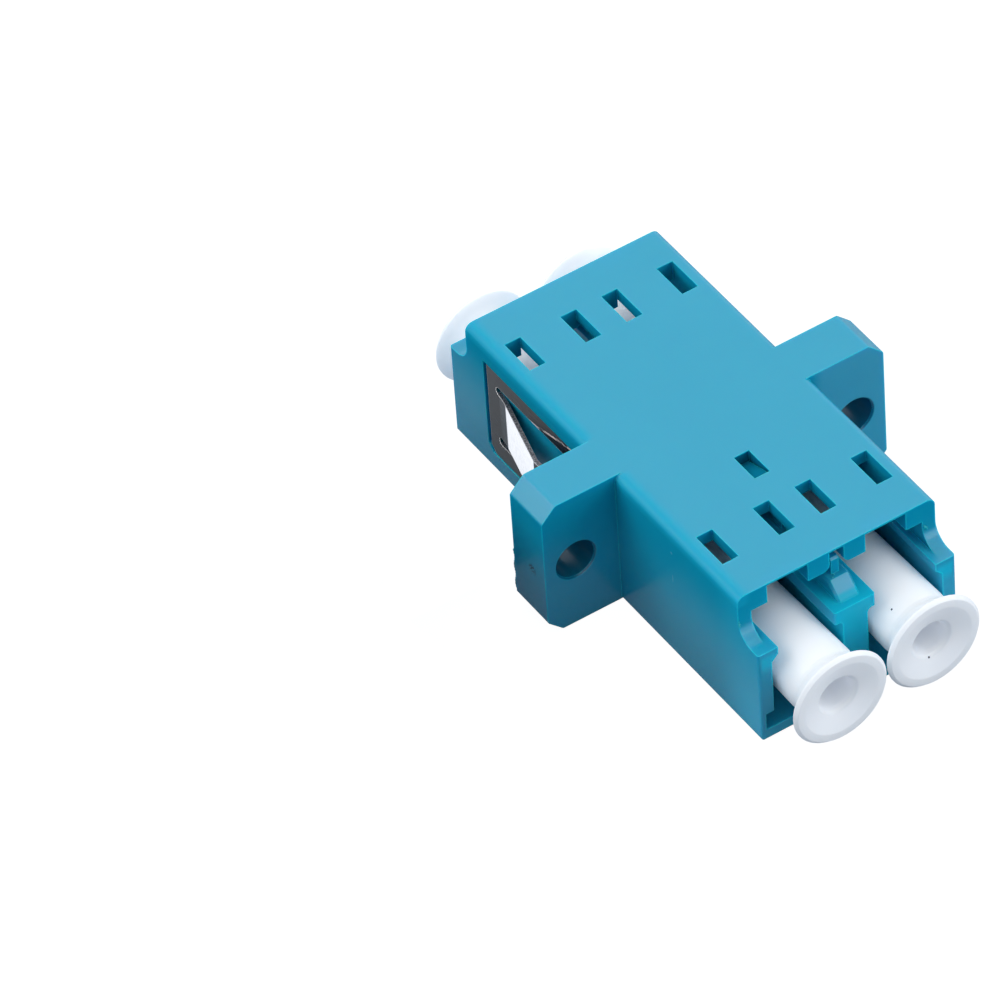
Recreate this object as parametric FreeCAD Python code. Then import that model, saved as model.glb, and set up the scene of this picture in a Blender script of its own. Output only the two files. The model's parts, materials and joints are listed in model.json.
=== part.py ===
# Duplex fibre adapter with a two-ear flange, closed by four dust caps.
# Millimetres. X runs across the ears, Y along the plugs (front is -Y), Z up from the bottom face.
# Y = 0 is the middle of the flange and the mating plane of the two alignment sleeves.
import FreeCAD, Part
import math
import os

V = FreeCAD.Vector

# ---- outer shell ----
BODY_W = 12.6            # across X
BODY_H = 9.15
BODY_LEN = 29.2          # over the lower side walls
TOP_LEN = 25.7           # over the roof
EDGE_R = 0.5             # long top edges
CORNER_R = 0.15          # outer upright corners and long bottom edges
RAMP_R = 1.18            # hollow ramp from roof end down to the wall ledge
WALL = 0.85
FLOOR = 0.65
ROOF = 0.8
LEAD_IN_H = 0.68         # the ceiling rises towards the open end, between the catches
LEAD_IN_LEN = 1.5

# ---- flange ----
FLANGE_W = 22.0
FLANGE_T = 3.0
FLANGE_CHAMFER = 0.92
HOLE_PITCH = 18.0
HOLE_R = 1.2
HOLE_Z = 4.52
HOLE_RIM_BREAK = 0.1
EAR_EDGE_R = 0.25

# ---- ports ----
PITCH = 6.25             # between the two fibre axes
AXIS_Z = 3.67            # height of the fibre axes
LEDGE_TOP = 6.28         # top of side ledges and divider rails
LEDGE_T = 0.86
LEDGE_REACH = 0.42       # side ledge stands in from the wall
LEDGE_BREAK = 0.38       # lower inner edge of the side ledge
STEM_W = 1.56            # divider below the rail
RAIL_W = 2.6
RAIL_CORNER_R = 0.12
STEM_FILLET = 0.3        # under the rail
RIDGE_W = 1.36           # block on the divider rail
RIDGE_H = 0.92
RIDGE_FOOT_IN = 0.45     # ramp foot behind the divider's end
RIDGE_RAMP = 0.95        # length of the ramp along Y
RIDGE_BREAK = 0.14       # upper edges of the ridge
NECK_W = 0.48            # thin web above the ridge
NECK_SET_BACK = 0.35     # neck starts behind the top of the ramp
NECK_BREAK = 0.12
DIVIDER_SET_BACK = 0.2   # divider ends behind the side walls
RELIEF_H = 1.13          # low corner relief in each outer wall
RELIEF_D = 0.52
RELIEF_LEN = 8.0
WEB = 1.6                # housing cross wall, from Y = 0 back

# ---- roof windows and plug catches ----
WINDOW_W = 1.01
WINDOW_LEN = 2.45
WINDOW_SPREAD = 3.6      # between the two windows of one port
CATCH_LEN = 2.57         # roof end to window
CATCH_DROP = 0.55        # below the ceiling
CATCH_CORNER_R = 0.42
CATCH_GAP = 0.92         # between the two middle catches
HOOK_WINDOW_W = 0.96
HOOK_WINDOW_LEN = 1.94
HOOK_WINDOW_Y = -5.10    # centre

# ---- sleeves and their tubes ----
SLEEVE_OD = 1.62
SLEEVE_ID = 1.25
SLEEVE_LEN = 6.8
SLEEVE_SLIT = 0.22
SLEEVE_FLOAT = 0.06      # radial clearance of the sleeve in its bore
SLEEVE_END_PLAY = 0.1
TUBE_R = 1.4
TUBE_LIP = 0.5
TUBE_TIP_BREAK = 0.15
LIP_R = 0.72

# ---- front insert ----
INSERT_GAP = 0.04        # to the housing, all round
INSERT_WALL = 1.6        # cross wall in front of the housing's web
FINGER_W = 0.8
FINGER_T = 0.45
FINGER_LEN = 4.6
FINGER_ROOT = 0.9
HOOK_H = 0.72            # above the finger
HOOK_LEN = 2.3
HOOK_LAND = 0.25

# ---- panel clip ----
SHEET = 0.25
CLIP_RECESS = 0.05       # plate face below the side wall's face
CLIP_GAP = 0.03          # behind the sheet
CLIP_EDGE_GAP = 0.04     # round the plate's edges
CLIP_REAR_GAP = 0.26     # behind the plate's rear edge
POCKET_REAR = 11.23
POCKET_TOP = 7.77
POCKET_BOTTOM = 1.2
POCKET_CHAMFER = 0.45
STRAP_FRONT = 2.0
STRAP_REAR = 8.0
STRAP_RECESS = 0.05
BEND_R = 0.30            # inside radius of the U bends
CLIP_WINDOW_REAR = 10.15
CLIP_WINDOW_FRONT = 2.5
CLIP_WINDOW_TOP = 6.70
CLIP_WINDOW_BOTTOM = 2.36
SLIT_W = 0.58            # beside the tongue's root
TONGUE_FLARE = 1.29      # tongue stands out this far from the plate
TONGUE_ROOT_BEND = 0.6   # length of the half-angle bend at the root
TONGUE_KNEE = 4.6        # Y where the tip is straightened
TONGUE_TIP = 3.4

# ---- dust caps ----
CAP_INNER = 1.95         # root end, from Y = 0
CAP_ROOT_R = 1.84
CAP_NECK_R = 2.07        # tube is drafted, thicker outwards
CAP_GROOVE = 0.07        # shallow neck behind the flare
CAP_GROOVE_LEN = 0.5
CAP_RIM_R = 2.95
CAP_FLARE = 1.5          # rim face to the start of the flare
CAP_FLARE_PULL = 0.55    # how far the flare first runs along the tube
CAP_RIM_T = 0.42         # thickness of the rounded rim
CAP_RIM_ROUND = 0.17
CAP_LAND = 0.45          # flat ring of the rim
CAP_DISH_R = 1.26        # the dished face runs in to this radius
CAP_DISH = 0.34          # and is this deep there
CAP_MOUTH_CHORD = 0.22   # the hole's mouth turns in by two short cones of this length
CAP_MOUTH_SLOPES = (50, 74)
CAP_HOLE_LEN = 3.2
CAP_BORE_LEN = 4.2
CAP_FIT = 0.05           # radial clearance over the sleeve tube
CAP_FACE = {             # rim face, from Y = 0, as pushed in by hand
    "front_left": 17.57,
    "front_right": 17.17,
    "rear_left": 16.75,
    "rear_right": 16.45,
}

HALF_W = BODY_W / 2
INNER_W = HALF_W - WALL
CEILING = BODY_H - ROOF
LEDGE_UNDER = LEDGE_TOP - LEDGE_T
HALF_LEN = BODY_LEN / 2
HALF_TOP = TOP_LEN / 2
HALF_FLANGE = FLANGE_T / 2
DIVIDER_END = HALF_LEN - DIVIDER_SET_BACK
RIDGE_TOP = LEDGE_TOP + RIDGE_H
RIDGE_FOOT = DIVIDER_END - RIDGE_FOOT_IN
INSERT_TOP = CEILING - 2 * INSERT_GAP
HOOK_FACE = HOOK_WINDOW_LEN / 2 - HOOK_WINDOW_Y - INSERT_GAP
BORE_R = SLEEVE_OD / 2 + SLEEVE_FLOAT
BORE_END = SLEEVE_LEN / 2 + SLEEVE_END_PLAY
TUBE_TIP = BORE_END + TUBE_LIP
PLATE_OUT = HALF_W - CLIP_RECESS
PLATE_IN = PLATE_OUT - SHEET
POCKET_D = CLIP_RECESS + SHEET + CLIP_GAP
STRAP_LOW = STRAP_RECESS
STRAP_HIGH = STRAP_RECESS + SHEET
AXES = (-PITCH / 2, PITCH / 2)


def box(x0, x1, y0, y1, z0, z1):
    return Part.makeBox(x1 - x0, y1 - y0, z1 - z0, V(x0, y0, z0))


def rod(r, x, z, y0, y1):
    """A cylinder along Y."""
    return Part.makeCylinder(r, y1 - y0, V(x, y0, z), V(0, 1, 0))


def taper(r0, r1, x, z, y0, y1):
    """A cone along Y."""
    return Part.makeCone(r0, r1, y1 - y0, V(x, y0, z), V(0, 1, 0))


def face(edges):
    return Part.Face(Part.Wire(edges))


def outline(points):
    """A flat face from corner points."""
    return Part.Face(Part.makePolygon(points + [points[0]]))


def mirror_x(shape):
    return shape.mirror(V(0, 0, 0), V(1, 0, 0))


def mirror_y(shape):
    return shape.mirror(V(0, 0, 0), V(0, 1, 0))


def both_sides(shape):
    return [shape, mirror_x(shape)]


def upright(edge):
    a, b = edge.Vertexes[0].Point, edge.Vertexes[-1].Point
    return abs(a.x - b.x) < 1e-6 and abs(a.y - b.y) < 1e-6


def along_y(edge):
    a, b = edge.Vertexes[0].Point, edge.Vertexes[-1].Point
    return abs(a.x - b.x) < 1e-6 and abs(a.z - b.z) < 1e-6


def merge(first, others):
    return first.fuse(others).removeSplitter()


# ---- housing ----
def end_arc(side):
    """The hollow ramp at one end, from the roof down to the wall ledge."""
    slant = RAMP_R * (1 - 0.5 ** 0.5)
    top = V(0, side * HALF_TOP, LEDGE_TOP + RAMP_R)
    mid = V(0, side * (HALF_TOP + slant), LEDGE_TOP + slant)
    low = V(0, side * (HALF_TOP + RAMP_R), LEDGE_TOP)
    return Part.Arc(top, mid, low).toShape()


def shell_block():
    """The outer body: its side profile pulled across X, with its edges rounded."""
    corners = [
        V(0, HALF_TOP + RAMP_R, LEDGE_TOP),
        V(0, HALF_LEN, LEDGE_TOP),
        V(0, HALF_LEN, 0),
        V(0, -HALF_LEN, 0),
        V(0, -HALF_LEN, LEDGE_TOP),
        V(0, -HALF_TOP - RAMP_R, LEDGE_TOP),
    ]
    roof = [
        V(0, -HALF_TOP, LEDGE_TOP + RAMP_R),
        V(0, -HALF_TOP, BODY_H),
        V(0, HALF_TOP, BODY_H),
        V(0, HALF_TOP, LEDGE_TOP + RAMP_R),
    ]
    lower = [Part.makeLine(a, b) for a, b in zip(corners, corners[1:])]
    upper = [Part.makeLine(a, b) for a, b in zip(roof, roof[1:])]
    side = face([end_arc(1)] + lower + [end_arc(-1)] + upper)
    side.translate(V(-HALF_W, 0, 0))
    block = side.extrude(V(BODY_W, 0, 0))
    crown = box(-HALF_W, HALF_W, -BODY_LEN, BODY_LEN, -BODY_H, BODY_H)
    long_top = [e for e in crown.Edges if along_y(e) and e.CenterOfMass.z > 0]
    block = block.common(crown.makeFillet(EDGE_R, long_top))
    rest = [e for e in block.Edges if upright(e) and abs(e.CenterOfMass.y) > HALF_LEN - 0.01]
    rest += [e for e in block.Edges if along_y(e) and e.CenterOfMass.z < 0.01]
    return block.makeFillet(CORNER_R, rest)


def flange():
    """Both ears in one plate, its four outer corners cut off, with the two screw holes."""
    half = FLANGE_W / 2
    cut = FLANGE_CHAMFER
    corners = [
        V(-half, -HALF_FLANGE, cut),
        V(-half + cut, -HALF_FLANGE, 0),
        V(half - cut, -HALF_FLANGE, 0),
        V(half, -HALF_FLANGE, cut),
        V(half, -HALF_FLANGE, BODY_H - cut),
        V(half - cut, -HALF_FLANGE, BODY_H),
        V(-half + cut, -HALF_FLANGE, BODY_H),
        V(-half, -HALF_FLANGE, BODY_H - cut),
    ]
    plate = outline(corners).extrude(V(0, FLANGE_T, 0))
    plate = plate.makeFillet(EAR_EDGE_R, [e for e in plate.Edges if along_y(e)])
    return plate.cut(both_sides(screw_hole()))


def screw_hole():
    x = HOLE_PITCH / 2
    z = HOLE_Z
    rim = HOLE_R + HOLE_RIM_BREAK
    hole = rod(HOLE_R, x, z, -HALF_FLANGE, HALF_FLANGE)
    front = taper(rim, HOLE_R, x, z, -HALF_FLANGE, -HALF_FLANGE + HOLE_RIM_BREAK)
    rear = taper(HOLE_R, rim, x, z, HALF_FLANGE - HOLE_RIM_BREAK, HALF_FLANGE)
    return merge(hole, [front, rear])


def port_hollow(back):
    """The hollow of the rear end, from back outwards: ports and the latch channels above."""
    waist = INNER_W - LEDGE_REACH
    slope = INNER_W - LEDGE_REACH + LEDGE_BREAK
    section = [
        V(-INNER_W, back, FLOOR),
        V(INNER_W, back, FLOOR),
        V(INNER_W, back, LEDGE_UNDER),
        V(slope, back, LEDGE_UNDER),
        V(waist, back, LEDGE_UNDER + LEDGE_BREAK),
        V(waist, back, LEDGE_TOP),
        V(INNER_W, back, LEDGE_TOP),
        V(INNER_W, back, CEILING),
        V(-INNER_W, back, CEILING),
        V(-INNER_W, back, LEDGE_TOP),
        V(-waist, back, LEDGE_TOP),
        V(-waist, back, LEDGE_UNDER + LEDGE_BREAK),
        V(-slope, back, LEDGE_UNDER),
        V(-INNER_W, back, LEDGE_UNDER),
    ]
    hollow = outline(section).extrude(V(0, BODY_LEN - back, 0))
    return merge(hollow, [lead_in()] + both_sides(corner_relief()))


def lead_in():
    """The wedge that thins the roof towards the open end."""
    y0 = HALF_TOP - LEAD_IN_LEN
    rise = LEAD_IN_H * (BODY_LEN - y0) / LEAD_IN_LEN
    wedge = outline([
        V(-INNER_W, y0, CEILING),
        V(-INNER_W, BODY_LEN, CEILING + rise),
        V(-INNER_W, BODY_LEN, CEILING),
    ])
    return wedge.extrude(V(2 * INNER_W, 0, 0))


def corner_relief():
    x1 = INNER_W + RELIEF_D
    y0 = HALF_LEN - RELIEF_LEN
    return box(INNER_W, x1, y0, BODY_LEN, FLOOR, FLOOR + RELIEF_H)


def catch_blocks():
    """The four plug catches that hang from the roof's rear end."""
    y0 = HALF_TOP - CATCH_LEN
    z0 = CEILING - CATCH_DROP
    inner = PITCH / 2 - WINDOW_SPREAD / 2 + WINDOW_W / 2
    outer = PITCH / 2 + WINDOW_SPREAD / 2 - WINDOW_W / 2
    middle = box(CATCH_GAP / 2, inner, y0, HALF_TOP, z0, BODY_H)
    edge = [e for e in middle.Edges if along_y(e) and e.CenterOfMass.z < z0 + 0.01
            and e.CenterOfMass.x < inner - 0.01]
    middle = middle.makeFillet(CATCH_CORNER_R, edge)
    side = box(outer, INNER_W, y0, HALF_TOP, z0, BODY_H)
    return both_sides(middle) + both_sides(side)


def roof_windows():
    """The plug latch windows of the rear end."""
    y1 = HALF_TOP - CATCH_LEN
    cuts = []
    for axis in AXES:
        for step in (-WINDOW_SPREAD / 2, WINDOW_SPREAD / 2):
            x = axis + step
            cuts.append(box(x - WINDOW_W / 2, x + WINDOW_W / 2, y1 - WINDOW_LEN, y1,
                            CEILING - CATCH_DROP, BODY_H))
    return cuts


def hook_window():
    y0 = HOOK_WINDOW_Y - HOOK_WINDOW_LEN / 2
    return box(-HOOK_WINDOW_W / 2, HOOK_WINDOW_W / 2, y0, y0 + HOOK_WINDOW_LEN, CEILING, BODY_H)


def side_pocket():
    """Seat of the clip's plate in the right-hand side wall, behind the flange."""
    x0 = HALF_W - POCKET_D
    low = POCKET_BOTTOM
    corners = [
        V(x0, HALF_FLANGE, low),
        V(x0, POCKET_REAR - POCKET_CHAMFER, low),
        V(x0, POCKET_REAR, low + POCKET_CHAMFER),
        V(x0, POCKET_REAR, POCKET_TOP),
        V(x0, HALF_FLANGE, POCKET_TOP),
    ]
    return outline(corners).extrude(V(BODY_W, 0, 0))


def strap_recess():
    """The groove for the clip's strap: across the bottom and up both sides to the pockets."""
    x0 = HALF_W - POCKET_D
    depth = STRAP_HIGH + CLIP_GAP
    y0 = STRAP_FRONT - CLIP_EDGE_GAP
    y1 = STRAP_REAR + CLIP_EDGE_GAP
    ring = box(-BODY_W, BODY_W, y0, y1, -BODY_H, POCKET_BOTTOM)
    core = box(-x0, x0, y0, y1, depth, BODY_H)
    edges = [e for e in core.Edges if along_y(e) and e.CenterOfMass.z < depth + 0.01]
    return ring.cut(core.makeFillet(BEND_R, edges))


def ridge_and_neck(neck_top, neck_back, back):
    """The ramped block on the divider rail and the thin web above it, for the rear end.
    The ridge stops at back, the neck at neck_back."""
    half = RIDGE_W / 2
    top = RIDGE_FOOT - RIDGE_RAMP
    side = outline([
        V(-half, RIDGE_FOOT, LEDGE_TOP),
        V(-half, top, RIDGE_TOP),
        V(-half, back, RIDGE_TOP),
        V(-half, back, LEDGE_TOP),
    ])
    ridge = side.extrude(V(RIDGE_W, 0, 0))
    edges = [e for e in ridge.Edges if abs(abs(e.CenterOfMass.x) - half) < 0.01
             and e.CenterOfMass.y < RIDGE_FOOT - 0.01 and e.CenterOfMass.z > LEDGE_TOP + 0.01
             and not upright(e)]
    ridge = ridge.makeChamfer(RIDGE_BREAK, edges)
    neck = box(-NECK_W / 2, NECK_W / 2, neck_back, top - NECK_SET_BACK, RIDGE_TOP, neck_top)
    nose = [e for e in neck.Edges if e.CenterOfMass.z > neck_top - 0.01
            and e.CenterOfMass.y > top - NECK_SET_BACK - 0.01]
    return [ridge, neck.makeChamfer(NECK_BREAK, nose)]


def divider(low, back):
    """Stem and rail between the two ports of the rear end, from back to the divider's end."""
    stem = box(-STEM_W / 2, STEM_W / 2, back, DIVIDER_END, low, LEDGE_UNDER)
    rail = box(-RAIL_W / 2, RAIL_W / 2, back, DIVIDER_END, LEDGE_UNDER, LEDGE_TOP)
    tips = [e for e in rail.Edges if upright(e) and e.CenterOfMass.y > DIVIDER_END - 0.01]
    body = stem.fuse(rail.makeFillet(RAIL_CORNER_R, tips))
    inner = [e for e in body.Edges if along_y(e) and abs(e.CenterOfMass.z - LEDGE_UNDER) < 0.01
             and abs(abs(e.CenterOfMass.x) - STEM_W / 2) < 0.01]
    return body.makeFillet(STEM_FILLET, inner)


def sleeve_tube(x):
    """The tube round a sleeve, for the rear end, from the mating plane to its tip."""
    body = rod(TUBE_R, x, AXIS_Z, 0, TUBE_TIP - TUBE_TIP_BREAK)
    tip = taper(TUBE_R, TUBE_R - TUBE_TIP_BREAK, x, AXIS_Z, TUBE_TIP - TUBE_TIP_BREAK, TUBE_TIP)
    return body.fuse(tip)


def sleeve_bore(x):
    """The sleeve's bore and the lip that keeps it in, for the rear end."""
    bore = rod(BORE_R, x, AXIS_Z, -WEB, BORE_END)
    lip = rod(LIP_R, x, AXIS_Z, -WEB, TUBE_TIP)
    mouth = taper(LIP_R, LIP_R + TUBE_TIP_BREAK, x, AXIS_Z, TUBE_TIP - TUBE_TIP_BREAK, TUBE_TIP)
    return merge(bore, [lip, mouth])


def make_housing():
    shell = shell_block().cut([port_hollow(WEB), mirror_y(port_hollow(0))])
    catches = catch_blocks()
    shell = merge(shell, catches + [mirror_y(c) for c in catches])
    windows = roof_windows()
    shell = shell.cut(windows + [mirror_y(w) for w in windows] + [hook_window()])
    rear = [divider(FLOOR, WEB)] + ridge_and_neck(CEILING, WEB, WEB)
    tubes = [sleeve_tube(x) for x in AXES]
    shell = merge(shell, rear + tubes + [ears()])
    shell = shell.cut([sleeve_bore(x) for x in AXES])
    return shell.cut(both_sides(side_pocket()) + [strap_recess()]).removeSplitter()


def ears():
    """The flange outside the shell: the room inside stays open."""
    half = HALF_W - WALL / 2
    core = box(-half, half, -FLANGE_T, FLANGE_T, FLOOR / 2, BODY_H - ROOF / 2)
    return flange().cut(core)


# ---- front insert ----
def cross_wall():
    """The wall that carries the front tubes; it slides in under the side ledges."""
    half = INNER_W - INSERT_GAP
    low = FLOOR + INSERT_GAP
    return box(-half, half, 0, INSERT_WALL, low, LEDGE_UNDER - INSERT_GAP)


def finger():
    """The springy latch finger over the ridge, with the hook that snaps into the roof."""
    half = FINGER_W / 2
    root = HOOK_FACE - HOOK_LEN + FINGER_LEN
    tip = HOOK_FACE - HOOK_LEN
    side = outline([
        V(-half, tip, INSERT_TOP - FINGER_T),
        V(-half, root - FINGER_ROOT, INSERT_TOP - FINGER_T),
        V(-half, root - FINGER_ROOT, RIDGE_TOP),
        V(-half, root, RIDGE_TOP),
        V(-half, root, INSERT_TOP),
        V(-half, HOOK_FACE, INSERT_TOP),
        V(-half, HOOK_FACE, INSERT_TOP + HOOK_H),
        V(-half, HOOK_FACE - HOOK_LAND, INSERT_TOP + HOOK_H),
        V(-half, tip, INSERT_TOP),
    ])
    return side.extrude(V(FINGER_W, 0, 0))


def make_sleeve_holder():
    """Made facing +Y like the rear end, then turned to face the front."""
    neck_back = HOOK_FACE - HOOK_LEN + FINGER_LEN - FINGER_ROOT
    parts = ridge_and_neck(INSERT_TOP, neck_back, INSERT_WALL)
    parts += [divider(FLOOR + INSERT_GAP, INSERT_WALL), finger()]
    parts += [sleeve_tube(x) for x in AXES]
    body = merge(cross_wall(), parts)
    body = body.cut([sleeve_bore(x) for x in AXES])
    return mirror_y(body).removeSplitter()


# ---- sleeves ----
def make_sleeve(x):
    """A split tube; the slit looks down."""
    half = SLEEVE_LEN / 2
    outer = rod(SLEEVE_OD / 2, x, AXIS_Z, -half, half)
    inner = rod(SLEEVE_ID / 2, x, AXIS_Z, -half, half)
    slit = box(x - SLEEVE_SLIT / 2, x + SLEEVE_SLIT / 2, -half, half, AXIS_Z - SLEEVE_OD, AXIS_Z)
    return outer.cut([inner, slit])


# ---- panel clip ----
def clip_strap():
    """The strap across the bottom with its two bends, up to the plates."""
    high = POCKET_BOTTOM + BEND_R + SHEET
    outer = box(-PLATE_OUT, PLATE_OUT, STRAP_FRONT, STRAP_REAR, STRAP_LOW, high)
    inner = box(-PLATE_IN, PLATE_IN, STRAP_FRONT, STRAP_REAR, STRAP_HIGH, high)
    under = [e for e in outer.Edges if along_y(e) and e.CenterOfMass.z < STRAP_LOW + 0.01]
    over = [e for e in inner.Edges if along_y(e) and e.CenterOfMass.z < STRAP_HIGH + 0.01]
    return outer.makeFillet(BEND_R + SHEET, under).cut(inner.makeFillet(BEND_R, over))


def clip_plate():
    """The right-hand plate with its window."""
    gap = CLIP_EDGE_GAP
    low = POCKET_BOTTOM + gap
    rear = POCKET_REAR - CLIP_REAR_GAP
    corners = [
        V(PLATE_IN, HALF_FLANGE + gap, low),
        V(PLATE_IN, rear - POCKET_CHAMFER, low),
        V(PLATE_IN, rear, low + POCKET_CHAMFER),
        V(PLATE_IN, rear, POCKET_TOP - gap),
        V(PLATE_IN, HALF_FLANGE + gap, POCKET_TOP - gap),
    ]
    plate = outline(corners).extrude(V(SHEET, 0, 0))
    return plate.cut(clip_window())


def clip_window():
    """The opening the tongue is bent out of; its rear corners end in two round slits."""
    half = SLIT_W / 2
    rear = CLIP_WINDOW_REAR - half
    opening = box(PLATE_IN, PLATE_OUT, CLIP_WINDOW_FRONT, rear, CLIP_WINDOW_BOTTOM, CLIP_WINDOW_TOP)
    ends = []
    for z in (CLIP_WINDOW_BOTTOM + half, CLIP_WINDOW_TOP - half):
        ends.append(Part.makeCylinder(half, SHEET, V(PLATE_IN, rear, z), V(1, 0, 0)))
    return merge(opening, ends)


def ribbon(inner, thickness):
    """A bent strip in the XY plane; inner is its inner face, from the rear forwards."""
    outer = []
    for i, p in enumerate(inner):
        before = inner[max(i, 1)] - inner[max(i, 1) - 1]
        last = min(i, len(inner) - 2)
        after = inner[last + 1] - inner[last]
        n0 = V(-before.y, before.x, 0).normalize()
        n1 = V(-after.y, after.x, 0).normalize()
        mitre = (n0 + n1).normalize()
        outer.append(p + mitre * (thickness / mitre.dot(n0)))
    return outline(inner + outer[::-1])


def clip_tongue():
    """The right-hand tongue: rooted at the window's rear, flared out, its tip straightened."""
    root = CLIP_WINDOW_REAR - SLIT_W / 2
    z0 = CLIP_WINDOW_BOTTOM + SLIT_W
    height = CLIP_WINDOW_TOP - SLIT_W - z0
    run = root - TONGUE_ROOT_BEND - TONGUE_KNEE
    first = TONGUE_FLARE / run * TONGUE_ROOT_BEND / 2
    path = [
        V(PLATE_IN, CLIP_WINDOW_REAR, z0),
        V(PLATE_IN, root, z0),
        V(PLATE_IN + first, root - TONGUE_ROOT_BEND, z0),
        V(PLATE_IN + TONGUE_FLARE, TONGUE_KNEE, z0),
        V(PLATE_IN + TONGUE_FLARE, TONGUE_TIP, z0),
    ]
    return ribbon(path, SHEET).extrude(V(0, 0, height))


def make_panel_clip():
    right = [clip_plate(), clip_tongue()]
    left = [mirror_x(s) for s in right]
    return merge(clip_strap(), right + left)


# ---- dust caps ----
def curve(*points):
    """A smooth line from the first to the last point, drawn towards those between."""
    bezier = Part.BezierCurve()
    bezier.setPoles(list(points))
    return bezier.toShape()


def cap_profile(face_y):
    """Half section of a cap: X is the radius, Y runs outwards, the rim's face at face_y."""
    flare_y = face_y - CAP_FLARE
    rim_y = face_y - CAP_RIM_T
    groove_r = CAP_NECK_R - CAP_GROOVE
    bore_r = TUBE_R + CAP_FIT
    rim_r = CAP_RIM_R - CAP_RIM_ROUND
    bore_y = CAP_INNER + CAP_BORE_LEN
    start = V(bore_r, CAP_INNER, 0)
    neck = V(CAP_NECK_R, flare_y - CAP_GROOVE_LEN, 0)
    flare_start = V(groove_r, flare_y, 0)
    rim_back = V(rim_r, rim_y, 0)
    root = V(CAP_ROOT_R, CAP_INNER, 0)
    rim = [
        rim_back,
        V(CAP_RIM_R, rim_y + CAP_RIM_ROUND, 0),
        V(CAP_RIM_R, face_y - CAP_RIM_ROUND, 0),
        V(rim_r, face_y, 0),
        V(rim_r - CAP_LAND, face_y, 0),
        V(CAP_DISH_R, face_y - CAP_DISH, 0),
    ]
    for slope in CAP_MOUTH_SLOPES:
        turn = math.radians(slope)
        rim.append(rim[-1] - V(math.cos(turn), math.sin(turn), 0) * CAP_MOUTH_CHORD)
    hole = rim[-1]
    hole_end = hole - V(0, CAP_HOLE_LEN, 0)
    core = [hole, hole_end, V(0, hole_end.y, 0), V(0, bore_y, 0), V(bore_r, bore_y, 0), start]
    edges = [Part.makeLine(start, root), curve(root, neck), curve(neck, flare_start)]
    edges.append(curve(flare_start, V(groove_r, flare_y + CAP_FLARE_PULL, 0), rim_back))
    edges += [Part.makeLine(a, b) for a, b in zip(rim, rim[1:])]
    edges += [Part.makeLine(a, b) for a, b in zip(core, core[1:])]
    return face(edges)


def make_cap(name):
    """One cap: its half section turned round its own axis, then set in its port."""
    solid = cap_profile(CAP_FACE[name]).revolve(V(0, 0, 0), V(0, 1, 0), 360)
    if name.startswith("front"):
        solid = mirror_y(solid)
    x = AXES[0] if name.endswith("left") else AXES[1]
    solid.translate(V(x, 0, AXIS_Z))
    return solid


def main():
    os.makedirs("parts", exist_ok=True)
    pieces = {
        "housing": make_housing(),
        "sleeve_holder": make_sleeve_holder(),
        "alignment_sleeve_left": make_sleeve(AXES[0]),
        "alignment_sleeve_right": make_sleeve(AXES[1]),
        "panel_clip": make_panel_clip(),
    }
    for name in CAP_FACE:
        pieces["dust_cap_" + name] = make_cap(name)
    for name, shape in pieces.items():
        if len(shape.Solids) != 1 or not shape.isValid():
            raise ValueError(name + " is not one sound solid")
        shape.Solids[0].exportStep("parts/" + name + ".step")


main()
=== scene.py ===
import json
import math

import bpy
from mathutils import Matrix, Vector

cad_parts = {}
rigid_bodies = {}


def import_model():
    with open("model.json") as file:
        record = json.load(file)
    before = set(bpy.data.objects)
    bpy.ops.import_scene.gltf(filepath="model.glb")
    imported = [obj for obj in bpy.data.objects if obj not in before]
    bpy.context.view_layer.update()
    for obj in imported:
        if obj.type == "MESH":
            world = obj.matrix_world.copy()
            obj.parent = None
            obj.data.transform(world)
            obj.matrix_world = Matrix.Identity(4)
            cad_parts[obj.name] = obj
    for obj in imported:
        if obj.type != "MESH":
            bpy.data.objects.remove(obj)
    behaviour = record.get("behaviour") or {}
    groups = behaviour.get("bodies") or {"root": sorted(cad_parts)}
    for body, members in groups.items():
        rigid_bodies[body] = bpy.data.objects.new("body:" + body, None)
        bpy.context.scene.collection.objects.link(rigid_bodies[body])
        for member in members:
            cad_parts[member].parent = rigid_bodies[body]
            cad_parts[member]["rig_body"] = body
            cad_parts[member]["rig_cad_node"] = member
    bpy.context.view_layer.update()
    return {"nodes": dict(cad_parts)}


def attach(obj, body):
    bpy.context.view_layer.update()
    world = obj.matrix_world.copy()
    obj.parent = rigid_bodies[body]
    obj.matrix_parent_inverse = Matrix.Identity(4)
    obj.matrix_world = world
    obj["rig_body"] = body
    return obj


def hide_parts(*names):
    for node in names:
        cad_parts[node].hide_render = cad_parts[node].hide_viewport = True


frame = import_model()
bpy.context.scene.view_settings.view_transform = "Standard"

# ---- Camera ----
# A long lens half a metre away looks down on the roof from the front left corner.
# The camera is tipped a little about the lens's axis, as when it is held by hand.
# The sensor's width and the lens are in millimetres, and all else in the script in metres.
CAMERA_AZIMUTH = math.radians(-30.51)
CAMERA_ELEVATION = math.radians(44.71)
CAMERA_TIP = math.radians(-4.373)
CAMERA_DISTANCE = 0.505497
CAMERA_AIM = Vector((0, 0.001297, 0))
CAMERA_ASIDE = -0.010213
CAMERA_UP = 0.000986
CAMERA_SENSOR = 36
CAMERA_LENS = 338.586

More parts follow.
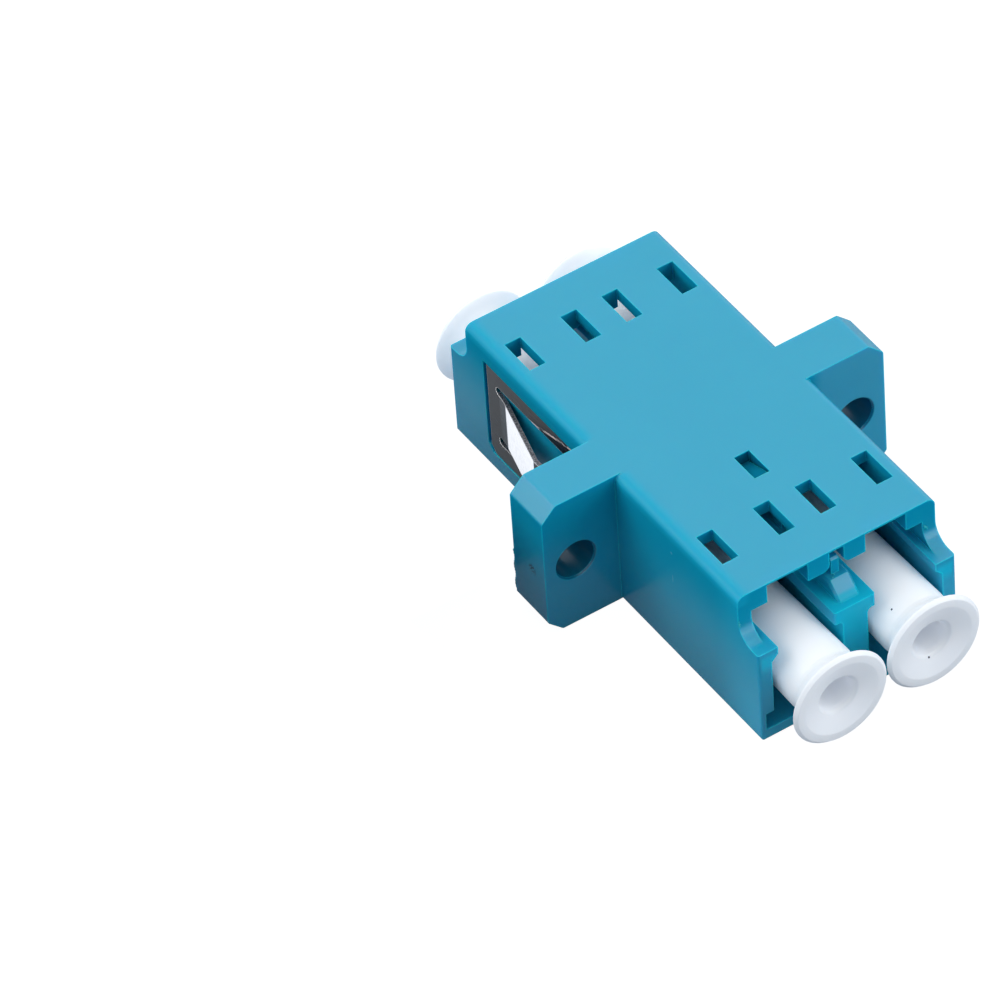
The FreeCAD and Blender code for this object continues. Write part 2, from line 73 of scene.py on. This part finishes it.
back = Vector((
    math.sin(CAMERA_AZIMUTH) * math.cos(CAMERA_ELEVATION),
    -math.cos(CAMERA_AZIMUTH) * math.cos(CAMERA_ELEVATION),
    math.sin(CAMERA_ELEVATION),
))
level = Vector((0, 0, 1)).cross(back).normalized()
rise = back.cross(level)
right = level * math.cos(CAMERA_TIP) + rise * math.sin(CAMERA_TIP)
up = rise * math.cos(CAMERA_TIP) - level * math.sin(CAMERA_TIP)
camera_data = bpy.data.cameras.new("camera")
camera_data.sensor_width = CAMERA_SENSOR
camera_data.lens = CAMERA_LENS
camera = bpy.data.objects.new("camera", camera_data)
bpy.context.scene.collection.objects.link(camera)
stand = Matrix((right, up, back)).transposed().to_4x4()
stand.translation = CAMERA_AIM + right * CAMERA_ASIDE + up * CAMERA_UP + back * CAMERA_DISTANCE
camera.matrix_world = stand
bpy.context.scene.camera = camera


# ---- Housing ----
# The outer moulding, in one piece of aqua plastic: body, roof with latch windows, and both ears.
# The tool gives it a satin skin, and a little light passes through its thin edges, shown partly by the
# shader's subsurface light and partly by a painted glow.
class Wire:
    """A shader socket that takes arithmetic: each operator adds the Math node it needs."""

    def __init__(self, socket):
        self.socket = socket

    def add(self, kind, settings, values, out=0):
        """Adds a node of that kind, sets it up, plugs its sockets, and gives one of its outputs."""
        node = self.socket.id_data.nodes.new(kind)
        for name, value in settings.items():
            setattr(node, name, value)
        plug(node, values)
        return Wire(node.outputs[out])

    def math(self, operation, *others):
        """One Math node, with this and the others as its inputs."""
        values = {0: self}
        values.update({i + 1: other for i, other in enumerate(others)})
        return self.add("ShaderNodeMath", {"operation": operation}, values)

    def __add__(self, other):
        return self.math("ADD", other)

    def __mul__(self, other):
        return self.math("MULTIPLY", other)

    def __sub__(self, other):
        return self.math("SUBTRACT", other)

    def __neg__(self):
        return self * -1

    def __rsub__(self, other):
        return -self + other

    __radd__ = __add__
    __rmul__ = __mul__

    def ramp(self, low, high):
        """0 below low, 1 above high, and a smooth step between. High may be the lower one."""
        values = {"Value": self, "From Min": low, "From Max": high}
        return self.add("ShaderNodeMapRange", {"interpolation_type": "SMOOTHSTEP"}, values)

    def mix(self, a, b):
        """Colour a where this is 0, colour b where it is 1."""
        return self.add("ShaderNodeMix", {"data_type": "RGBA"}, {0: self, 6: a, 7: b}, 2)

    def noise(self, size, detail=2.0):
        """Soft blotches of about that size, in metres, from 0 to 1."""
        return self.add("ShaderNodeTexNoise", {}, {"Vector": self, "Scale": 1 / size, "Detail": detail})

    def parts(self):
        """X, Y and Z of a point or a direction."""
        first = self.add("ShaderNodeSeparateXYZ", {}, {0: self})
        return [Wire(socket) for socket in first.socket.node.outputs]


def plug(node, values):
    """Links or sets a node's sockets."""
    for name, value in values.items():
        if isinstance(value, Wire):
            node.id_data.links.new(value.socket, node.inputs[name])
        else:
            node.inputs[name].default_value = value


def new_finish(name):
    """An empty material: the material, its shader, and the point on the piece being shaded."""
    material = bpy.data.materials.new(name)
    material.use_nodes = True
    nodes = material.node_tree.nodes
    place = Wire(nodes.new("ShaderNodeTexCoord").outputs["Object"])
    return material, nodes["Principled BSDF"], place


def mix_in(shader, share, other):
    """Shows that share of another shader in place of a material's own."""
    blend = share.add("ShaderNodeMixShader", {}, {0: share, 1: Wire(shader.outputs[0]), 2: other})
    plug(shader.id_data.nodes["Material Output"], {"Surface": blend})


def facing(place):
    """The way the surface faces."""
    return place.add("ShaderNodeNewGeometry", {}, {}, "Normal")


def rounded(place, radius):
    """The way the surface would face if its sharp edges were rounded over."""
    return place.add("ShaderNodeBevel", {"samples": 6}, {"Radius": radius})


def edge_line(place, radius):
    """1 along sharp edges and 0 on flat faces, fading over that radius."""
    both = {0: facing(place), 1: rounded(place, radius)}
    alike = place.add("ShaderNodeVectorMath", {"operation": "DOT_PRODUCT"}, both, "Value")
    return (1 - alike).ramp(0.0, 0.25)


def spot(place, centre, reach):
    """1 inside a small ellipsoid round a point and 0 outside it."""
    away = place.add("ShaderNodeVectorMath", {"operation": "SUBTRACT"}, {0: place, 1: centre})
    scaled = place.add("ShaderNodeVectorMath", {"operation": "DIVIDE"}, {0: away, 1: reach})
    far = place.add("ShaderNodeVectorMath", {"operation": "LENGTH"}, {0: scaled}, "Value")
    return far.ramp(1.0, 0.5)


def zone(place, *limits):
    """1 inside all the limits and 0 outside any of them.

    A limit is an axis, the place where the mask is still 0, and the place where it is 1. The axes
    aside and along are X and Y with no sign, for what is alike on both sides or at both ends.
    """
    x, y, z = place.parts()
    axes = {"x": x, "y": y, "z": z, "aside": x.math("ABSOLUTE"), "along": y.math("ABSOLUTE")}
    mask = 1
    for axis, nothing, full in limits:
        mask = mask * axes[axis].ramp(nothing, full)
    return mask


def from_axis(place, axis_x, axis_z):
    """How far a point is from the nearer of two lengthwise axes, one on each side of the part."""
    x, y, z = place.parts()
    aside = x.math("ABSOLUTE") - axis_x
    above = z - axis_z
    return (aside * aside + above * above).math("SQRT")


# Thin places, which get a painted glow for the light that comes through them: the front of the divider
# and the lip beside each port.
DIVIDER = (("aside", 0.0014, 0.0011), ("y", -0.0094, -0.0106), ("z", 0.0067, 0.0065))
LIP = (
    ("aside", 0.0050, 0.0053), ("aside", 0.0062, 0.0060), ("y", -0.0116, -0.0120),
    ("z", 0.0046, 0.0054), ("z", 0.0062, 0.0057),
)
# Painted shade on the walls towards their top, as far as the right ear, and painted light on the front
# of the left wall, stronger at its low corner.
HIGH_WALL = (("z", 0.0025, 0.0085), ("x", 0.0072, 0.0062))
FRONT_WALL = (("y", -0.0100, -0.0136), ("x", -0.0055, -0.0060))
FRONT_WALL_SHARE = 0.34
LOW_CORNER = ("z", 0.0045, 0.0010)
LOW_CORNER_SHARE = 0.56
# The round along the roof's left edge, apart from where the ear joins it, which gets a painted
# highlight.
ROOF_EDGE = (
    ("x", -0.0053, -0.0060), ("x", -0.0064, -0.0063), ("z", 0.0083, 0.0086),
    ("along", 0.0015, 0.0017),
)
# Painted shade in the window in the roof that the latch hook sits in, and a painted sheen on the ramp
# at the divider's front end.
HOOK_WINDOW = (
    ("aside", 0.0011, 0.0010), ("y", -0.0070, -0.0066), ("y", -0.0034, -0.0038),
    ("z", 0.0078, 0.0082), ("z", 0.00910, 0.00904),
)
DIVIDER_RAMP = (("aside", 0.0010, 0.0009), ("y", -0.0124, -0.0128), ("z", 0.0063, 0.0064))
# The axis of each ear's screw hole, and how far from it its wall ends: inside that wall the hole is
# painted in shade.
HOLE_X = 0.009
HOLE_Z = 0.00452
HOLE_WALL = (0.00135, 0.00125)
# The gate's scar on the left ear, and small scratches on the left side: centre and reach.
SCAR = ((-0.0110, -0.00027, 0.0040), (0.0001, 0.00044, 0.00044))
SCRATCHES = (
    ((-0.0063, -0.0067, 0.0057), (0.0002, 0.00006, 0.00035)),
    ((-0.0063, -0.0067, 0.0076), (0.0002, 0.00012, 0.00012)),
)
# The plastic's colours, as linear light.
AQUA = (0.013, 0.352, 0.532, 1)
AQUA_CLOUD = (0.019, 0.375, 0.556, 1)
AQUA_HIGH_WALL_SHADE = (0.002, 0.278, 0.438, 1)
AQUA_ROOF_EDGE_HIGHLIGHT = (0.015, 0.490, 0.690, 1)
AQUA_HOLE_SHADE = (0.002, 0.120, 0.210, 1)
AQUA_FRONT_WALL_LIGHT = (0.020, 0.500, 0.740, 1)
AQUA_HOOK_WINDOW_SHADE = (0.002, 0.160, 0.270, 1)
AQUA_RAMP_SHEEN = (0.085, 0.420, 0.600, 1)
AQUA_THIN_GLOW = (0.004, 0.480, 0.660, 1)
AQUA_SCRATCH = (0.300, 0.620, 0.720, 1)
AQUA_SCAR = (0.004, 0.060, 0.110, 1)
AQUA_EDGE_HIGHLIGHT = (0.020, 0.680, 0.820, 1)


def aqua_plastic():
    """Satin plastic, a little cloudy, with a painted glow where it is thin and a painted highlight
    along sharp edges.

    Painted shade darkens it high on the upright walls, in the screw holes and in the hook window;
    painted light brightens the front of the left wall, the roof's left edge and the divider's ramp.
    """
    material, shader, place = new_finish("aqua_plastic")
    to_right, to_rear, upwards = facing(place).parts()
    upright = upwards.math("ABSOLUTE").ramp(0.45, 0.25)
    to_left = (-to_right).ramp(0.6, 0.8)
    sloping = (-to_rear).ramp(0.5, 0.65) * upwards.ramp(0.5, 0.65)
    # Painted shade high on the upright walls.
    high_wall_shade = zone(place, *HIGH_WALL) * upright
    # Painted light on the front of the left wall, stronger towards its low corner.
    light_share = FRONT_WALL_SHARE + zone(place, LOW_CORNER) * LOW_CORNER_SHARE
    front_wall_light = zone(place, *FRONT_WALL) * to_left * light_share
    # A painted highlight along the roof's left edge.
    roof_edge = zone(place, *ROOF_EDGE)
    # Painted shade in the hook window.
    hook_window_shade = zone(place, *HOOK_WINDOW)
    # A painted sheen, pale and whitish, on the divider's sloping ramp.
    divider_ramp_sheen = zone(place, *DIVIDER_RAMP) * sloping
    # A painted glow at the thin places.
    thin_glow = zone(place, *DIVIDER) + zone(place, *LIP)
    # Painted shade inside the screw holes.
    hole_shade = from_axis(place, HOLE_X, HOLE_Z).ramp(*HOLE_WALL)
    scratch = sum(spot(place, *where) for where in SCRATCHES)
    scar = spot(place, *SCAR) * place.noise(0.00013, 2).ramp(0.46, 0.53)
    cloud = place.noise(0.006, 3)
    grain = place.noise(0.00009, 2)
    sink = place.noise(0.003, 1)
    # Sharp edges get a painted highlight.
    edge = edge_line(place, 0.00013)
    colour = cloud.mix(AQUA, AQUA_CLOUD)
    for mask, share, tint in (
        (high_wall_shade, 0.9, AQUA_HIGH_WALL_SHADE),
        (roof_edge, 0.25, AQUA_ROOF_EDGE_HIGHLIGHT),
        (hole_shade, 0.9, AQUA_HOLE_SHADE),
        (front_wall_light, 1, AQUA_FRONT_WALL_LIGHT),
        (hook_window_shade, 1, AQUA_HOOK_WINDOW_SHADE),
        (divider_ramp_sheen, 1, AQUA_RAMP_SHEEN),
        (thin_glow, 0.75, AQUA_THIN_GLOW),
        (scratch, 0.2, AQUA_SCRATCH),
        (scar, 0.85, AQUA_SCAR),
        (edge, 0.85, AQUA_EDGE_HIGHLIGHT),
    ):
        colour = (mask * share).mix(colour, tint)
    waves = place.add("ShaderNodeBump", {}, {
        "Strength": 0.25, "Distance": 0.00006, "Height": sink, "Normal": rounded(place, 0.00008)})
    skin = place.add("ShaderNodeBump", {}, {
        "Strength": 0.10, "Distance": 0.000012, "Height": grain + scar * 4, "Normal": waves})
    finish = {
        "Base Color": colour,
        "Roughness": 0.19 + grain * 0.06 + cloud * 0.03,
        "IOR": 1.5,
        "Subsurface Weight": 0.5,
        "Subsurface Radius": (0.04, 0.6, 1.0),
        "Subsurface Scale": 0.0009,
        "Normal": skin,
    }
    plug(shader, finish)
    # The sheen is taken off where the walls are painted in shade high up, along the roof's left edge,
    # at sharp edges, at thin places and in the hook window.
    matte = place.add("ShaderNodeBsdfPrincipled", {}, dict(finish, **{"Specular IOR Level": 0.0}))
    dull = high_wall_shade.math("MAXIMUM", roof_edge * 0.7)
    mix_in(shader, dull.math("MAXIMUM", (edge + thin_glow) * 0.7 + hook_window_shade), matte)
    return material


# Points closer than this are one, and an edge up to this many degrees is a smooth round.
WELD = 1e-6
MOULDED_ANGLE = 32


def dress(node, name, body, material, smooth=MOULDED_ANGLE):
    """A welded copy of a CAD node with smooth rounds and crisp edges, which then stands for it."""
    piece = frame["nodes"][node].copy()
    piece.data = piece.data.copy()
    piece.name = name
    piece.data.name = name
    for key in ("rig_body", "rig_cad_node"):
        if key in piece:
            del piece[key]
    piece.parent = None
    bpy.context.scene.collection.objects.link(piece)
    bpy.ops.object.select_all(action="DESELECT")
    piece.select_set(True)
    bpy.context.view_layer.objects.active = piece
    bpy.ops.mesh.customdata_custom_splitnormals_clear()
    bpy.ops.object.mode_set(mode="EDIT")
    bpy.ops.mesh.select_all(action="SELECT")
    bpy.ops.mesh.remove_doubles(threshold=WELD)
    bpy.ops.object.mode_set(mode="OBJECT")
    bpy.ops.object.shade_smooth_by_angle(angle=math.radians(smooth))
    weight = piece.modifiers.new("weight", "WEIGHTED_NORMAL")
    weight.keep_sharp = True
    bpy.ops.object.modifier_apply(modifier=weight.name)
    piece.data.materials.clear()
    piece.data.materials.append(material)
    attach(piece, body)
    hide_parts(node)


aqua = aqua_plastic()
dress("housing", "housing_moulding", "adapter", aqua)


# ---- Sleeve holder ----
# The inner moulding that is pushed in from the front until its latch hook clicks into the roof.
# It is the same aqua plastic as the housing and carries the front divider.
dress("sleeve_holder", "holder_moulding", "adapter", aqua)


# ---- Mould flash ----
# Crumbs of the mouldings' own plastic, torn at the parting lines: at the top of each side wall's
# front ramp, at the top of the divider's, and in a ragged line down the left ear's rear edge.
# Each lump differs from the next by a wave in its size and a step in its turn.
LUMP_SPREAD = 0.45
LUMP_BEAT = 7.3
LUMP_TURN = (1.9, 2.7, 0.8)


def crumbs(name, start, step, count, size, shape=(1.0, 0.6, 0.8), turn=LUMP_TURN):
    """A row of small uneven lumps, sunk half into the moulding, as one piece."""
    bpy.ops.object.select_all(action="DESELECT")
    lumps = []
    for i in range(count):
        grow = 1 + LUMP_SPREAD * math.sin(LUMP_BEAT * i)
        where = [a + b * i for a, b in zip(start, step)]
        bpy.ops.mesh.primitive_ico_sphere_add(subdivisions=2, radius=size * grow, location=where)
        lump = bpy.context.object
        lump.rotation_euler = [angle * i for angle in turn]
        lump.scale = shape
        lumps.append(lump)
    for lump in lumps:
        lump.select_set(True)
    bpy.ops.object.join()
    bpy.ops.object.transform_apply(location=True, rotation=True, scale=True)
    piece = bpy.context.object
    piece.name = name
    piece.data.materials.append(aqua)
    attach(piece, "adapter")


crumbs("flash_ramp_left", (-0.00624, -0.01286, 0.00740), (0, 0, -0.00013), 5, 0.00006)
crumbs("flash_ramp_right", (0.00556, -0.01287, 0.00744), (0.00006, 0, -0.00009), 6, 0.00007)
crumbs("flash_ridge", (-0.00052, -0.0130, 0.00719), (0.00018, 0.00012, 0), 3, 0.00006)
crumbs("flash_ear", (-0.01095, 0.00155, 0.0012), (0, 0, 0.00021), 14, 0.00008,
       shape=(0.42, 1.2, 1.3), turn=(0, 0, 0))


# ---- Alignment sleeves ----
# Two ground zirconia tubes, slit along one side, that line up the ferrules.
# They float in the tubes of the housing and the holder, out of sight.
CERAMIC = (0.86, 0.85, 0.80, 1)
CERAMIC_CLOUD = (0.92, 0.91, 0.87, 1)


def white_zirconia():
    """Ceramic, ground to a fine gloss."""
    material, shader, place = new_finish("white_zirconia")
    grind = place.noise(0.00004, 1)
    plug(shader, {
        "Base Color": place.noise(0.0008).mix(CERAMIC, CERAMIC_CLOUD),
        "Roughness": 0.15 + grind * 0.08,
    })
    return material


zirconia = white_zirconia()
for side in ("left", "right"):
    dress("alignment_sleeve_" + side, "sleeve_ceramic_" + side, "adapter", zirconia)


# ---- Panel clip ----
# One stamped and bent strip of spring steel round the underside, with a flared tongue each side.
# The rolled faces are dark and plain, the sheared edges bright and rough.
PLATE_FACE = 0.00628
TONGUE_KNEE = 0.0046
TONGUE = (
    ("aside", PLATE_FACE + 0.00008, PLATE_FACE + 0.00015),
    ("y", TONGUE_KNEE - 0.00005, TONGUE_KNEE + 0.00005),
)
# The rail above the window is a little buckled: under a slanting line it turns away, painted in shade,
# with a painted bright reflection along the fold.
WINDOW_TOP = 0.0067
BUCKLED_RAIL = (("z", WINDOW_TOP - 0.00002, WINDOW_TOP), ("y", 0.0070, 0.0068))
BUCKLE_START = 0.0069
BUCKLE_SLOPE = 0.26
STEEL = (0.170, 0.160, 0.155, 1)
STEEL_TURNED_AWAY_SHADE = (0.040, 0.040, 0.050, 1)
STEEL_FOLD_REFLECTION = (0.56, 0.46, 0.43, 1)
STEEL_TONGUE_SHEEN = (0.74, 0.77, 0.83, 1)
STEEL_MOTTLED_SHEEN = (0.80, 0.83, 0.88, 1)
STEEL_SHEARED = (0.10, 0.10, 0.11, 1)
STEEL_TORN = (0.42, 0.42, 0.45, 1)
STEEL_BURR_AND_HIGHLIGHT = (0.88, 0.88, 0.90, 1)


def drawn_out(place, share, size):
    """Streaks of about that size across the strip, and of that size over the share along it."""
    along = place.add("ShaderNodeMapping", {}, {"Vector": place, "Scale": (1, share, 1)})
    return along.noise(size, 2)


def spring_steel():
    """Dark plates, tongues with a mottled painted sheen, sheared edges, near-white edges that are
    partly burrs and partly a painted highlight, and painted shade and a painted reflection at the fold
    of the buckled rail.
    """
    material, shader, place = new_finish("spring_steel")
    y, z = place.parts()[1:]
    tongue = zone(place, *TONGUE)
    sheared = facing(place).parts()[2].math("ABSOLUTE").ramp(0.55, 0.8)
    edge = edge_line(place, 0.00007)
    rolled = drawn_out(place, 0.08, 0.00012)
    streak = drawn_out(place, 0.12, 0.00007)
    under_line = (BUCKLE_START - y) * BUCKLE_SLOPE + WINDOW_TOP - z
    turned_away_shade = under_line.ramp(0.0, 0.00004) * zone(place, *BUCKLED_RAIL)
    fold_reflection = under_line.ramp(0.00026, 0.00014) * streak.ramp(0.38, 0.58)
    mottle = place.noise(0.00025, 3).ramp(0.35, 0.65)
    torn = place.noise(0.00008, 3).ramp(0.35, 0.7)
    # Painted shade on the turned-away rail, and a painted reflection along its fold.
    colour = turned_away_shade.mix(STEEL, fold_reflection.mix(STEEL_TURNED_AWAY_SHADE, STEEL_FOLD_REFLECTION))
    # The tongues are painted pale, a mottled painted sheen of the light above them.
    colour = tongue.mix(colour, mottle.mix(STEEL_TONGUE_SHEEN, STEEL_MOTTLED_SHEEN))
    colour = sheared.mix(colour, torn.mix(STEEL_SHEARED, STEEL_TORN))
    # The tongues, the edges and the fold are a little crowned, so they mirror what is above them.
    crown = tongue * 1.3 + edge * 1.2 + fold_reflection * turned_away_shade * 0.8
    lift = place.add("ShaderNodeCombineXYZ", {}, {2: crown})
    both = {0: rounded(place, 0.00005), 1: lift}
    crowned = place.add("ShaderNodeVectorMath", {"operation": "ADD"}, both)
    level = place.add("ShaderNodeVectorMath", {"operation": "NORMALIZE"}, {0: crowned})
    # Sharp edges are near white: partly burrs, partly a painted highlight.
    plug(shader, {
        "Base Color": (edge * 0.9).mix(colour, STEEL_BURR_AND_HIGHLIGHT),
        "Metallic": 1.0,
        "Roughness": 0.24 + rolled * 0.10 + sheared * 0.2,
        "Normal": place.add("ShaderNodeBump", {}, {
            "Strength": 0.15, "Distance": 0.00001, "Height": rolled, "Normal": level}),
    })
    return material


dress("panel_clip", "clip_spring", "adapter", spring_steel())


# ---- Dust caps ----
# Four soft white plastic caps, each a tube pushed over a sleeve tube, with a flared finger rim.
# Each stands out by its own amount, as pushed in by hand.
AXIS_X = 0.003125
AXIS_Z = 0.00367
# Where a painted glow stands for light coming through a cap's thin wall: towards the front of the tube,
# on the front rim, behind the housing, under the rear windows, and inside the recess in the rim's face.
FRONT_TUBE = ("y", -0.0102, -0.0128)
FRONT_RIM = ("y", -0.0148, -0.0158)
REAR_END = ("y", 0.0135, 0.0150)
UNDER_WINDOW = (("y", 0.0100, 0.0108), ("y", 0.0134, 0.0128))
RECESS = ("along", 0.0140, 0.0150)
# How far from the axis the recess ends, and the tube's wall begins to show.
RECESS_WALL = (0.00135, 0.00105)
TUBE_WALL = (0.00120, 0.00140)
# How strong the glow is at each place, and what the thicker front rim takes from the tube's.
TUBE_GLOW = 0.16
RIM_GLOW = 0.045
RIM_LOSS = 0.55
REAR_GLOW = 0.28
UNDER_WINDOW_GLOW = 0.12
RECESS_GLOW = 0.06
# Two dark specks in the front right cap's plastic: centre and reach.
SPECKS = (
    ((0.00184, -0.01508, 0.00529), (0.00008, 0.00008, 0.00008)),
    ((0.00293, -0.01681, 0.00245), (0.00008, 0.00008, 0.00008)),
)
CAP_WHITE = (0.925, 0.946, 0.985, 1)
CAP_CLOUD = (0.940, 0.960, 0.990, 1)
CAP_SPECK = (0.02, 0.02, 0.03, 1)
CAP_GLOW = (0.88, 0.96, 1.12, 1)
NO_GLOW = (0, 0, 0, 1)
CAP_ANGLE = 14


def cap_plastic():
    """Soft white plastic. The light that passes through its thin wall is shown as a faint painted glow.
    """
    material, shader, place = new_finish("cap_plastic")
    to_rear, upwards = facing(place).parts()[1:]
    radius = from_axis(place, AXIS_X, AXIS_Z)
    tube = zone(place, FRONT_TUBE) * upwards.ramp(-0.1, 0.35) * TUBE_GLOW
    rim = zone(place, FRONT_RIM)
    rear = zone(place, REAR_END) * to_rear.ramp(0.5, 0.1) * REAR_GLOW
    under = zone(place, *UNDER_WINDOW) * upwards.ramp(0.7, 0.95) * UNDER_WINDOW_GLOW
    recess = zone(place, RECESS) * radius.ramp(*RECESS_WALL) * RECESS_GLOW
    outside = tube * (1 - rim * RIM_LOSS) + rim * RIM_GLOW + rear + under
    glow = outside * radius.ramp(*TUBE_WALL) + recess
    speck = sum(spot(place, *where) for where in SPECKS)
    cloud = place.noise(0.004, 2)
    skin = place.noise(0.0004, 2)
    plug(shader, {
        "Base Color": speck.mix(cloud.mix(CAP_WHITE, CAP_CLOUD), CAP_SPECK),
        "Emission Color": (glow * (1 - speck)).mix(NO_GLOW, CAP_GLOW),
        "Emission Strength": 1.0,
        "Roughness": 0.38 + skin * 0.08,
        "Subsurface Weight": 0.7,
        "Subsurface Radius": (0.9, 0.95, 1.0),
        "Subsurface Scale": 0.0006,
        "Normal": place.add("ShaderNodeBump", {}, {
            "Strength": 0.08, "Distance": 0.00004, "Height": skin, "Normal": rounded(place, 0.00008)}),
    })
    return material


white = cap_plastic()
for end in ("front", "rear"):
    for side in ("left", "right"):
        port = end + "_" + side
        dress("dust_cap_" + port, "cap_moulding_" + port, "cap_" + port, white, CAP_ANGLE)


# ---- Stage ----
# A plain white table in an even white room, with a soft lamp at the front right and one at the
# rear left. The table shows white to the lens and keeps a faint contact shadow.
TABLE_SIZE = 3
FLOOR_DROP = 0.0001
TABLE_GREY = (0.31, 0.34, 0.39, 1)
PURE_WHITE = (1, 1, 1, 1)
TABLE_GLOW = 1.62
GLOW_SEEN = 0.6
GLOW_MIRRORED = 0.08


def rays(place, kind):
    """1 for rays of that kind and 0 for others."""
    return place.add("ShaderNodeLightPath", {}, {}, kind)


bpy.ops.object.select_all(action="DESELECT")
bpy.ops.mesh.primitive_plane_add(size=TABLE_SIZE, location=(0, 0, -FLOOR_DROP))
table = bpy.context.object
table.name = "table"
table_finish, shader, place = new_finish("table_white")
plug(shader, {"Base Color": TABLE_GREY, "Roughness": 0.9, "Specular IOR Level": 0.0})
glow = place.add("ShaderNodeEmission", {}, {"Color": PURE_WHITE, "Strength": TABLE_GLOW})
seen = rays(place, "Is Camera Ray") + rays(place, "Is Transmission Ray")
mix_in(shader, seen * GLOW_SEEN + rays(place, "Is Glossy Ray") * GLOW_MIRRORED, glow)
table.data.materials.append(table_finish)

# A dark aqua block stands close by on the left, as a second part would: it keeps light off that
# side and is mirrored in it. The lens doesn't see it. From within it is clear, and its foot is
# below the table, so that the table under it is lit as the rest.
BLOCKS = {
    "block_body": ((-0.0289, -0.0092, -0.001), (-0.0163, 0.0200, 0.00915)),
    "block_ear": ((-0.0163, 0.0040, -0.001), (-0.0116, 0.0070, 0.00915)),
}
BLOCK_AQUA = (0.01, 0.20, 0.30, 1)
block_finish, shader, place = new_finish("block_finish")
within = place.add("ShaderNodeNewGeometry", {}, {}, "Backfacing")
plug(shader, {"Base Color": BLOCK_AQUA, "Roughness": 0.5, "Alpha": 1 - within})
for name, (low, high) in BLOCKS.items():
    middle = [(a + b) / 2 for a, b in zip(low, high)]
    bpy.ops.object.select_all(action="DESELECT")
    bpy.ops.mesh.primitive_cube_add(size=1, location=middle)
    cube = bpy.context.object
    cube.name = name
    cube.scale = [b - a for a, b in zip(low, high)]
    cube.visible_camera = False
    cube.data.materials.append(block_finish)

# Two alike square soft lamps, each turned to the part.
LAMP_SIZE = 0.4
LAMP_POWER = 1.25
LAMPS = {"front_right": (0.40, -0.42, 0.14), "rear_left": (-0.42, 0.18, 0.39)}
for name, where in LAMPS.items():
    lamp_data = bpy.data.lights.new(name, "AREA")
    lamp_data.size = LAMP_SIZE
    lamp_data.energy = LAMP_POWER
    lamp = bpy.data.objects.new(name, lamp_data)
    bpy.context.scene.collection.objects.link(lamp)
    lamp.location = where
    lamp.rotation_euler = (-Vector(where)).to_track_quat("-Z", "Y").to_euler()

# The room is white to the lens and in what metal mirrors. The light that it gives is bluer from
# low down and weaker from the front left.
LOW_LIGHT = (0.46, 0.60, 0.78, 1)
HIGH_LIGHT = (1.00, 1.01, 0.99, 1)
NO_LIGHT = (0, 0, 0, 1)
LOST_AT_FRONT_LEFT = 0.5
ROOM_MIRRORED = (1.12, 1.12, 1.12, 1)
world = bpy.data.worlds.new("room")
bpy.context.scene.world = world
world.use_nodes = True
nodes = world.node_tree.nodes
heading = Wire(nodes.new("ShaderNodeTexCoord").outputs["Generated"])
to_right, to_rear, upwards = heading.parts()
lost = (-to_right - to_rear).ramp(0.0, 1.2) * LOST_AT_FRONT_LEFT
daylight = lost.mix(upwards.ramp(0.0, 0.9).mix(LOW_LIGHT, HIGH_LIGHT), NO_LIGHT)
mirrored = rays(heading, "Is Glossy Ray")
plain = rays(heading, "Is Camera Ray") + mirrored + rays(heading, "Is Transmission Ray")
colour = plain.math("MINIMUM", 1.0).mix(daylight, mirrored.mix(PURE_WHITE, ROOM_MIRRORED))
plug(nodes["Background"], {"Color": colour, "Strength": 1.0})
